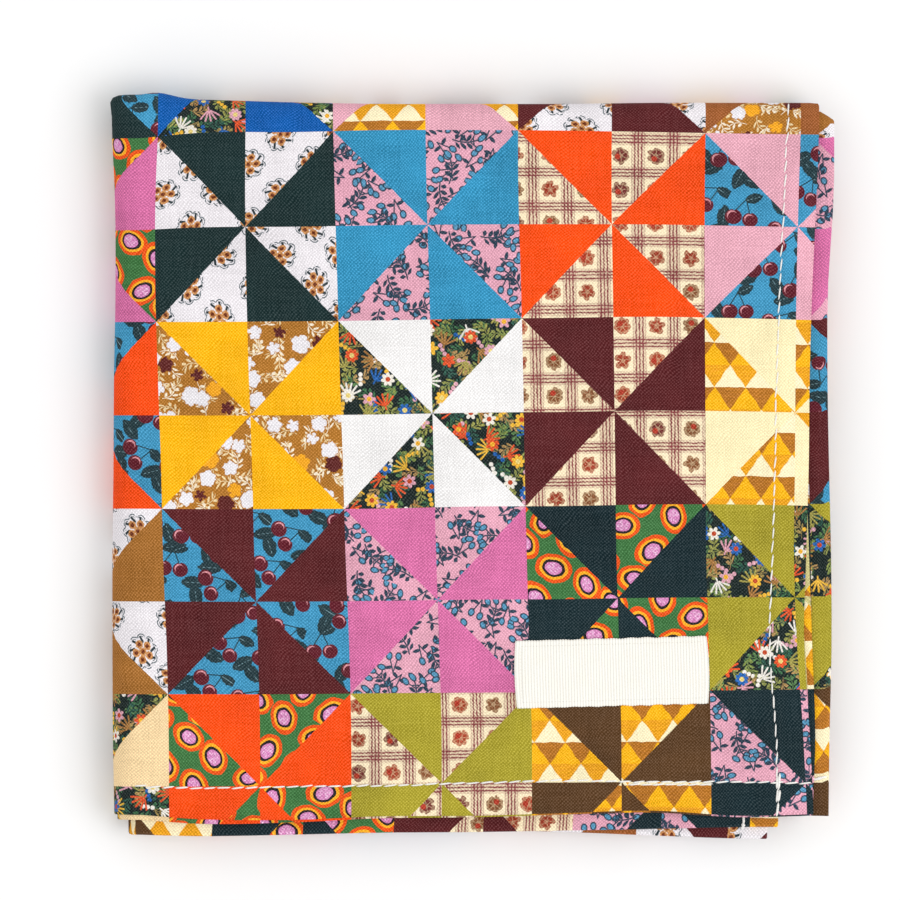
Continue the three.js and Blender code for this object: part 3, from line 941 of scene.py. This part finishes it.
def make_weave():
    """Plain weave. Over two threads each way the crossing is the product of two sines, whose sign says which
    thread is on top; the crossing and the crowns lighten and darken the colour as painted light and shade of
    the threads. Long thin noise makes single threads thicker or paler, wide noise makes the ink uneven, and
    white shows on the crowns, partly pale bare fibre and partly painted highlight. All this is weaker on pale
    colours. On the wrong side the ink is paler."""
    takes = {"Place": "vector", "Colour": "colour", "Wrong Side": "value"}
    t, given = new_group("plain_weave", takes, {"Colour": "colour", "Height": "value"})
    drift = t.noise(given["Place"], 0.2, 1.0) - 0.5
    wash = t.noise(given["Place"], 0.07, 2.0) - 0.5
    x, y, _z = t.split(given["Place"])
    x = x + drift * 1.3
    y = y - drift * 1.1
    crossing = t.math("SINE", x * (np.pi / THREAD)) * t.math("SINE", y * (np.pi / THREAD))
    crown = abs(crossing)
    warp = t.noise(t.join(x * 2.6, y * 0.1), 1.0, 1.0) - 0.5
    weft = t.noise(t.join(x * 0.1, y * 2.6), 1.0, 1.0) - 0.5
    fibre = t.noise(given["Place"], 3.0, 1.0, 0.7) - 0.5
    # Painted light and shade: the crossing and the crowns brighten and darken the colour; warp, weft, fibre,
    # drift and wash are the cloth's own uneven tone
    fine = crossing * 0.34 + (crown - 0.4) * 0.2 + (warp + weft) * 0.22 + fibre * 0.62
    relief = fine + drift * 0.18 + wash * 0.42
    strength = 1.15 - t.vector("DOT_PRODUCT", given["Colour"], (0.3, 0.6, 0.1)) * 0.7
    shade = relief * strength + EVEN_SHADE
    # White added on the crowns: partly pale bare fibre, partly painted highlight
    fibre_and_highlight = crossing * 0.8 + crown * 0.3 + 0.2 + fibre * 1.6 + warp * 0.6 + weft * 0.6
    pale_fibre_and_highlight = t.math("MULTIPLY", fibre_and_highlight, FIBRE_AND_HIGHLIGHT_WHITE, clamp=True)
    inked = t.vector("SCALE", given["Colour"], scale=shade)
    inked = t.vector("ADD", inked, t.join(pale_fibre_and_highlight, pale_fibre_and_highlight, pale_fibre_and_highlight))
    pale = t.mix(given["Wrong Side"] * 0.3, inked, paint("#ece5d6"))
    end_group(t, Colour=pale, Height=crown * 0.55 + crossing * 0.25 + warp * 0.5 + weft * 0.5)


def draw_posy(t, place):
    """Posies on white: a middle flower and five round it, short leaves and a broken scalloped line round
    them."""
    at = t.group("motif_places", Place=place, Pitch=8.35, Slant=0.78, Scatter=0.15, Turn=3.1)
    spot = t.vector("MULTIPLY", at["Local"], (1.12, 0.9, 0))
    five = t.group("fold_round", Spot=spot, Count=5.0)["Folded"]
    bloom = t.least(t.vector("LENGTH", spot), t.disc(five, (1.45, 0), 0)) + (t.noise(place, 2.2) - 0.5) * 0.35
    nine = t.group("fold_round", Spot=t.turned(spot, 0.3), Count=9.0)["Folded"]
    leaf = t.stroke(nine, (1.8, -0.2), (2.6, 0.2), 0.46)
    out, _y, _z = t.split(nine)
    scallop = abs(t.disc(nine, (2.3, 0), 0.86)) - 0.1
    inner = abs(t.disc(nine, (2.15, 0.1), 0.62)) - 0.07
    broken = 0.4 - t.noise(place, 1.1)
    line = t.most(t.least(scallop, inner), 2.45 - out, broken * 2.0)
    colour = t.mix(t.filled(line), paint("#ede8ec"), paint("#4a5c62"))
    colour = t.mix(t.filled(leaf), colour, paint("#26353a"))
    petals = t.banded(bloom, [(0.3, "#6b2f16"), (0.44, "#9c5a2b"), (1.0, "#cb9058")])
    return t.mix(t.filled(bloom - 0.78), colour, petals)


def draw_sprig(t, place):
    """Sprigs on pink: a stem with paired slate leaves and blue buds with dark outlines, and smaller twigs
    between them."""
    slate, bud_blue, colour = paint("#2c4052"), paint("#5795b8"), paint("#e3a5b8")
    at = t.group("motif_places", Place=place, Pitch=5.1, Slant=-0.3, Scatter=0.5, Turn=3.1)
    x, y, _z = t.split(t.vector("SCALE", at["Local"], scale=0.85))
    both = t.join(abs(x), y)
    twig = t.least(t.stroke(both, (0, -1.7), (0.62, 0.5), 0.22), t.leaf(both, (0.8, -0.95), 1.5, 0.62, -0.2))
    bud = t.oval(both, (0.78, 1.0), 0.56, 0.74)
    small = twig, bud
    at = t.group("motif_places", Place=place, Pitch=6.7, Slant=0.5, Scatter=0.35, Turn=3.1)
    x, y, _z = t.split(t.vector("SCALE", at["Local"], scale=0.85))
    x = x + y * y * 0.1
    both = t.join(abs(x), y)
    pairs = t.join(abs(x), t.math("WRAP", y, 0.52, -0.52))
    leaves = t.most(t.leaf(pairs, (0.68, 0.12), 1.6, 0.62, 0.75), abs(y + 0.65) - 1.55)
    arms = t.stroke(both, (0, 0.2), (1.3, 1.3), 0.22)
    stem = t.stroke(t.join(x, y), (0, -2.6), (0, 1.9), 0.26)
    twig = t.least(stem, leaves, arms)
    bud = t.least(t.oval(both, (1.45, 1.55), 0.58, 0.72), t.oval(both, (0, 2.2), 0.6, 0.8))
    for twig, bud in (small, (twig, bud)):
        colour = t.mix(t.filled(t.least(twig, bud)), colour, slate)
        colour = t.mix(t.filled(bud + 0.2), colour, bud_blue)
    return colour


def draw_plaid(t, place):
    """Checked bands on cream, each of four streaky thin lines, with a small brown flower in each open
    square."""
    x, y, _z = t.split(place)
    colour = paint("#fbe9c4")
    streak = t.noise(place, 1.5, 2.0)
    hatch = t.math("SINE", (x + y) * (2 * np.pi / 0.7)) * 0.12
    for at, wide in ((x, 1.25), (y + 1.4, 1.2)):
        off = t.math("WRAP", at + (streak - 0.5) * 0.4, 3.35, -3.35)
        line = t.math("COSINE", off * (2 * np.pi / 0.66)) * 0.5 + 0.5
        share = t.filled(abs(off) - wide, 0.2) * (0.24 + hatch + line * line * (0.4 + streak * 1.0))
        colour = t.mix(share, colour, paint("#87393f"))
    cell = t.join(t.math("FLOOR", x / 6.7), t.math("FLOOR", (y + 1.4) / 6.7))
    made = t.node("ShaderNodeTexWhiteNoise", {"noise_dimensions": "2D"}, Vector=cell)
    chance = t.out(made, "Value")
    middle = t.join(t.math("WRAP", x + 3.35, 3.35, -3.35), t.math("WRAP", y + 4.75, 3.35, -3.35))
    count = t.math("FLOOR", chance * 2.99) + 5.0
    lobes = t.group("fold_round", Spot=t.turned(middle, chance * 6.0), Count=count)["Folded"]
    wobble = (t.noise(place, 0.9) - 0.5) * 1.3
    out = t.vector("LENGTH", middle)
    flower = t.least(t.disc(lobes, (1.0, 0), 0.68), out - 0.9) + wobble * 0.55
    ink = t.picked(chance, ["#9d3d26", "#8a5634", "#74312c", "#a9452b", "#83502f"])
    _x, vein, _z = t.split(lobes)
    light = t.most(t.filled(abs(vein) - 0.06) * 0.5, t.math("SINE", out * 6.0 + wobble * 3.0) * 0.35)
    ink = t.mix(light, ink, paint("#e8cfa4"))
    colour = t.mix(t.filled(flower, 0.15), colour, ink)
    berry = t.disc(t.turned(middle, chance * 6.0), (0.5, 0.35), 0.55)
    return t.mix(t.filled(berry, 0.15) * t.math("GREATER_THAN", chance, 0.45), colour, paint("#b23a26"))


def draw_cherry(t, place):
    """Cherries on blue: two on joined stems under a veined leaf, with a pink glint on each, and loose
    leaves between them."""
    dark, vein_blue, colour = paint("#22393f"), paint("#7fa3ad"), paint("#3f94bd")
    ragged = (t.noise(place, 1.6) - 0.5) * 0.5
    x, y, _z = t.split(place)
    dashes = t.math("SINE", (x * 0.8 + y) * (2 * np.pi / 0.8)) * 0.7 + 0.5
    aside = t.vector("ADD", place, (4.0, 1.9, 0))
    loose = t.group("motif_places", Place=aside, Pitch=8.2, Slant=0.5, Scatter=0.25, Turn=2.4)
    for middle, turn in (((0.5, 0.2), 0.8), ((-1.2, -1.7), 2.2)):
        run = (1.7 * np.cos(turn), 1.7 * np.sin(turn))
        leaf = t.leaf(loose["Local"], middle, 4.8, 2.6, turn)
        ends = [(middle[0] + way * run[0], middle[1] + way * run[1]) for way in (-1, 1)]
        vein = t.stroke(loose["Local"], *ends, 0.1)
        colour = t.mix(t.filled(leaf + ragged), colour, dark)
        colour = t.mix(t.filled(vein) * dashes, colour, vein_blue)
    at = t.group("motif_places", Place=place, Pitch=8.2, Slant=0.5, Scatter=0.25, Turn=0.9)
    spot = at["Local"]
    joint = (0.4, 2.1)
    stems = t.least(t.stroke(spot, (-1.7, -0.4), joint, 0.22), t.stroke(spot, (1.3, -0.9), joint, 0.22))
    leaf = t.leaf(spot, (1.8, 2.4), 3.6, 2.0, 0.35) + ragged
    vein = t.stroke(spot, (0.5, 1.9), (3.0, 2.8), 0.1)
    colour = t.mix(t.filled(t.least(stems, leaf)), colour, dark)
    colour = t.mix(t.filled(vein) * dashes, colour, vein_blue)
    left = t.most(t.oval(spot, (-1.8, -1.5), 1.62, 1.5), -1.0 * t.disc(spot, (-1.7, 0.15), 0.35))
    right = t.most(t.oval(spot, (1.4, -1.9), 1.5, 1.42), -1.0 * t.disc(spot, (1.3, -0.35), 0.35))
    colour = t.mix(t.filled(t.least(left, right)), colour, paint("#611a27"))
    glint = t.least(
        t.most(t.disc(spot, (-2.1, -1.25), 0.95), -1.0 * t.disc(spot, (-1.85, -1.55), 1.0)),
        t.most(t.disc(spot, (1.2, -1.65), 0.88), -1.0 * t.disc(spot, (1.42, -1.95), 0.92)),
    )
    return t.mix(t.filled(glint) * 0.9, colour, paint("#e59aa2"))


def draw_blossom(t, place):
    """Blossoms on tan: lobed ragged white ones of all sizes and a few yellow or maroon, over cream twigs
    with paired leaves."""
    tan = paint("#b27529")
    colour = tan
    for pitch, slant, ink in ((4.3, 0.9, "#ecd3a2"), (4.9, -0.5, "#f7ead2")):
        at = t.group("motif_places", Place=place, Pitch=pitch, Slant=slant, Scatter=0.8, Turn=3.1)
        x, y, _z = t.split(at["Local"])
        x = x + y * y * 0.25
        pairs = t.join(abs(x), t.math("WRAP", y, 0.56, -0.56))
        leaves = t.most(t.leaf(pairs, (0.62, 0.14), 1.35, 0.42, 0.8), abs(y) - 1.6)
        twig = t.least(leaves, t.stroke(t.join(x, y), (0, -2.2), (0, 1.8), 0.16))
        colour = t.mix(t.filled(twig), colour, paint(ink))
    at = t.group("motif_places", Place=place, Pitch=4.5, Slant=0.3, Scatter=0.75, Turn=3.1)
    ragged = (t.noise(place, 1.5, 2.0, 0.7) - 0.5) * 0.9
    five = t.group("fold_round", Spot=at["Local"], Count=5.0)["Folded"]
    out = t.vector("LENGTH", at["Local"])
    bloom = t.least(t.disc(five, (0.85, 0), 0.62), out - 0.95) + ragged + 0.3 - at["Other Chance"] * 0.75
    colour = t.mix(t.filled(bloom - 0.2), colour, tan)
    white, yellow, maroon = "#ece8ec", "#f6a91f", "#5f2320"
    inks = [*[white] * 3, yellow, *[white] * 3, maroon, white, white, maroon, white, white, yellow]
    ink = t.picked(at["Chance"], inks)
    return t.mix(t.filled(bloom), colour, ink)


def draw_meadow(t, place):
    """A dark meadow: curved fronds, strings of dots, sprays with fingers, and many-petalled flowers over
    them."""
    colour = paint("#172523")
    greens = [["#3d6a48", "#8f9450", "#5c8250", "#a08a50"], ["#98994f", "#b08d58", "#2f5a4c", "#7f8f4a"]]
    for pitch, slant, inks in ((3.8, 0.2, greens[0]), (4.3, 0.9, greens[1])):
        at = t.group("motif_places", Place=place, Pitch=pitch, Slant=slant, Scatter=0.8, Turn=3.1)
        x, y, _z = t.split(at["Local"])
        x = x + y * y * 0.3
        pairs = t.join(abs(x), t.math("WRAP", y, 0.52, -0.52))
        leaves = t.most(t.leaf(pairs, (0.66, 0.2), 1.75, 0.5, 0.9), abs(y) + abs(x) * 0.6 - 2.0)
        frond = t.least(leaves, t.stroke(t.join(x, y), (0, -2.3), (0, 1.9), 0.15))
        colour = t.mix(t.filled(frond), colour, t.picked(at["Chance"], inks))
    at = t.group("motif_places", Place=place, Pitch=5.2, Slant=0.6, Scatter=0.7, Turn=3.1)
    x, y, _z = t.split(at["Local"])
    dots = t.most(t.disc(t.join(t.math("WRAP", x, 0.46, -0.46), y), (0, 0), 0.42), abs(x) - 1.38)
    ink = t.picked(at["Chance"], ["#1f5ea8", "#dea6b4", "#f0b93a", "#efe9e0"])
    colour = t.mix(t.filled(dots), colour, ink)
    at = t.group("motif_places", Place=place, Pitch=5.1, Slant=1.1, Scatter=0.5, Turn=3.1)
    palm = t.vector("ADD", at["Local"], (1.3, 0, 0))
    x, y, _z = t.split(palm)
    fingers = t.group("fold_round", Spot=palm, Count=15.0)["Folded"]
    spray = t.most(t.stroke(fingers, (0.6, 0), (2.6, 0), 0.36), abs(y) * 0.75 - x)
    spray = t.least(spray, t.stroke(palm, (-0.4, 0), (0.7, 0), 0.3))
    inks = ["#e2552a", "#ece7de", "#dc9fae", "#a9773f", "#2560a6", "#a39a4e", "#e2552a", "#e9b73e"]
    ink = t.picked(at["Chance"], inks)
    colour = t.mix(t.filled(spray), colour, ink)
    aside = t.vector("ADD", place, (2.9, 2.3, 0))
    at = t.group("motif_places", Place=aside, Pitch=5.9, Slant=0.4, Scatter=0.5, Turn=3.1)
    spot = at["Local"]
    count = t.math("FLOOR", at["Other Chance"] * 3.99) + 5.0
    petals = t.group("fold_round", Spot=spot, Count=count)["Folded"]
    out = t.vector("LENGTH", spot)
    flower = t.least(t.oval(petals, (0.85, 0), 0.5, 0.36), out - 0.75)
    inks = ["#efe9dc", "#f0b93a", "#dea6b4", "#2763ad", "#e2552a", "#efe9dc", "#f0b93a"]
    ink = t.picked(at["Chance"], inks)
    colour = t.mix(t.filled(flower), colour, ink)
    heart = t.picked(at["Other Chance"], ["#f0b233", "#c04a28", "#e6cf7c"])
    return t.mix(t.filled(out - 0.48), colour, heart)


def draw_bunting(t, place):
    """Rows of triangles: yellow ones pointing up with brown between, then darker yellow ones pointing down
    with cream between."""
    x, y, _z = t.split(t.vector("ADD", place, (2.2, 2.2, 0)))
    rows = (y + (t.noise(place, 0.5) - 0.5) * 0.4) / 4.35
    level = t.math("FRACT", rows)
    lower = t.math("LESS_THAN", t.math("FRACT", rows / 2.0), 0.5)
    off = abs(t.math("WRAP", x + (t.noise(place, 0.6) - 0.5) * 0.4, 3.07, -3.07)) / 3.07
    streak = t.noise(t.vector("MULTIPLY", place, (0.5, 3.4, 0)), 1.0, 2.0)
    brown = t.mix(streak * 0.9, paint("#cc8226"), paint("#93591c"))
    bright = t.mix(streak * 0.25, paint("#fcba0a"), paint("#e6951a"))
    upward = t.mix(t.filled((off + level - 1.0) * 2.0), brown, bright)
    deep = t.mix(streak * 0.9, paint("#fab414"), paint("#d98a1a"))
    downward = t.mix(t.filled((off - level) * 2.0), paint("#fdf0c6"), deep)
    return t.mix(lower, downward, upward)


def draw_rings(t, place):
    """Ovals on green, at all slants: orange, yellow and dark rings round a streaky pink middle."""
    at = t.group("motif_places", Place=place, Pitch=6.9, Slant=0.6, Scatter=0.22, Turn=3.1)
    wobble = (t.noise(place, 0.45) - 0.5) * 0.45
    spot = t.vector("MULTIPLY", at["Local"], (0.84, 1.12, 0))
    out = t.vector("LENGTH", spot) * (0.94 + at["Chance"] * 0.14) + wobble
    edge = (t.noise(place, 2.5) - 0.5) * 0.12
    bands = [(0.34, "#d482b8"), (0.46, "#241c20"), (0.585, "#fbb024"), (0.76, "#ee5410"), (1.0, "#3f7640")]
    colour = t.banded((out + edge) / 4.0, bands)
    streak = t.noise(t.vector("MULTIPLY", at["Local"], (1.4, 5.0, 0)), 1.0)
    share = t.math("MULTIPLY_ADD", streak, 5.0, -2.3, clamp=True)
    return t.mix(t.filled(out - 1.15, 0.3) * share, colour, paint("#f0c6e2"))


DRAWN = {
    "posy": draw_posy,
    "sprig": draw_sprig,
    "plaid": draw_plaid,
    "cherry": draw_cherry,
    "blossom": draw_blossom,
    "meadow": draw_meadow,
    "bunting": draw_bunting,
    "rings": draw_rings,
}


def new_material(name, roughness):
    """A matte cotton material: itself, its tree and its shader."""
    material = bpy.data.materials.new(name)
    material.use_nodes = True
    shader = material.node_tree.nodes["Principled BSDF"]
    shader.inputs["Roughness"].default_value = roughness
    shader.inputs["Specular IOR Level"].default_value = 0.08
    return material, Tree(material.node_tree), shader


def cloth_material(kind):
    """One small print's cloth: the print and the plain halves of its pinwheels, in a plain weave."""
    material, t, shader = new_material(f"cloth_{kind}", 0.9)
    places = t.group("print_places")
    printed = t.mix(places["Solid"], DRAWN[kind](t, places["Place"]), places["Ground"])
    woven = t.group("plain_weave", Place=places["Place"], Colour=printed, Wrong_Side=places["Wrong Side"])
    bump = t.node("ShaderNodeBump", Strength=0.7, Distance=0.0001, Height=woven["Height"])
    t.feed(shader.inputs["Base Color"], woven["Colour"])
    t.feed(shader.inputs["Normal"], t.out(bump, "Normal"))
    return material


def thread_material():
    """White cotton sewing thread: a fine slanted twist in its height, and painted shade making it a little
    greyer in its grooves.
    """
    material, t, shader = new_material("white_thread", 0.75)
    spot = t.out(t.node("ShaderNodeTexCoord"), "Object")
    x, y, z = t.split(spot)
    twist = t.math("SINE", (x + y + z * 2.0) * (2 * np.pi / 0.00042))
    hair = t.noise(t.vector("SCALE", spot, scale=1000.0), 4.0)
    # Painted shade: the twist greys the colour in its grooves; the hair noise is the thread's own uneven tone
    t.feed(shader.inputs["Base Color"], t.mix(twist * 0.25 + hair * 0.35, paint("#fbfaf6"), paint("#d9d5cc")))
    bump = t.node("ShaderNodeBump", Strength=0.5, Distance=0.00005, Height=twist)
    t.feed(shader.inputs["Normal"], t.out(bump, "Normal"))
    return material


def label_material():
    """Cream cotton tape: warp ribs with grooves darkened as painted shade, fine weft over them that lightens
    and darkens the colour a little as painted light and shade, a few flecks, and the line of sewing round it."""
    material, t, shader = new_material("label_cotton", 0.85)
    spot = t.out(t.node("ShaderNodeUVMap", {"uv_map": "tape"}))
    x, y, _z = t.split(spot)
    groove = abs(t.math("SINE", x * (np.pi / LABEL["rib"])))
    weft = t.math("SINE", y * (2 * np.pi / 0.3) + t.math("SINE", x * (np.pi / LABEL["rib"])) * 1.5)
    hair = t.noise(spot, 2.2, 2.0)
    from_edge = t.least(LABEL["length"] / 2 - abs(x), LABEL["width"] / 2 - abs(y))
    dashes = t.math("MULTIPLY_ADD", t.math("SINE", (x + y) * 9.0), 0.5, 0.5)
    sewn = t.filled(abs(from_edge - LABEL["sewn"]) - 0.08) * dashes
    # Painted shade in the rib grooves, and a little painted light and shade along the weft; the hair noise is
    # the tape's own uneven tone, and the sewing line is drawn darker
    shade = 1.0 - groove * groove * groove * groove * 0.22 - (hair - 0.5) * 0.08 + weft * 0.02 - sewn * 0.16
    tint = t.mix(t.noise(spot, 0.25, 1.0) * 0.5, paint("#fffdf5"), paint("#fff8ea"))
    t.feed(shader.inputs["Base Color"], t.vector("SCALE", tint, scale=shade))
    bump = t.node("ShaderNodeBump", Strength=0.5, Distance=0.00005, Height=weft * 0.5 + hair)
    t.feed(shader.inputs["Normal"], t.out(bump, "Normal"))
    return material


make_print_places()
make_motif_places()
make_fold_round()
make_weave()

cloth = make_cloth()
for kind in KINDS:
    cloth.data.materials.append(cloth_material(kind))
thread = make_thread()
thread.data.materials.append(thread_material())
label = make_label()
label.data.materials.append(label_material())

# Stage, light and camera: the picture's width is at the top leaf; the floor and the lamp are in metres
FRAME_WIDE = 175.5
EYE = (-4.39, 3.24, 2500)
FLOOR_REACH = 2
DAYLIGHT = 0.86
LAMP_WATTS = 7
LAMP_WIDE = 0.9
mesh = bpy.data.meshes.new("floor")
corners = [(x * FLOOR_REACH, y * FLOOR_REACH, 0) for x, y in ((-1, -1), (1, -1), (1, 1), (-1, 1))]
mesh.from_pydata(corners, [], [(0, 1, 2, 3)])
floor = bpy.data.objects.new("floor", mesh)
floor.location.z = -0.00005
bpy.context.scene.collection.objects.link(floor)
white, _, shader = new_material("pale_floor", 0.9)
shader.inputs["Base Color"].default_value = (0.97, 0.97, 0.97, 1)
floor.data.materials.append(white)

world = bpy.data.worlds.new("studio")
world.use_nodes = True
world.node_tree.nodes["Background"].inputs["Color"].default_value = (1, 1, 1, 1)
world.node_tree.nodes["Background"].inputs["Strength"].default_value = DAYLIGHT
bpy.context.scene.world = world
bpy.context.scene.view_settings.view_transform = "Standard"

lamp = bpy.data.lights.new("soft_box", "AREA")
lamp.shape = "RECTANGLE"
lamp.size = lamp.size_y = LAMP_WIDE
lamp.energy = LAMP_WATTS
soft_box = bpy.data.objects.new("soft_box", lamp)
soft_box.location = (0.85, -0.3, 1.1)
soft_box.rotation_euler = (-Vector(soft_box.location)).to_track_quat("-Z", "Y").to_euler()
bpy.context.scene.collection.objects.link(soft_box)

view = bpy.data.cameras.new("camera")
view.lens = view.sensor_width * (EYE[2] - TOP) / FRAME_WIDE
view.clip_end = 20
camera = bpy.data.objects.new("camera", view)
camera.location = [c * MM for c in EYE]
bpy.context.scene.collection.objects.link(camera)
bpy.context.scene.camera = camera

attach(cloth, "root")
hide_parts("cloth")
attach(label, "root")
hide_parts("label")
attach(thread, "root")
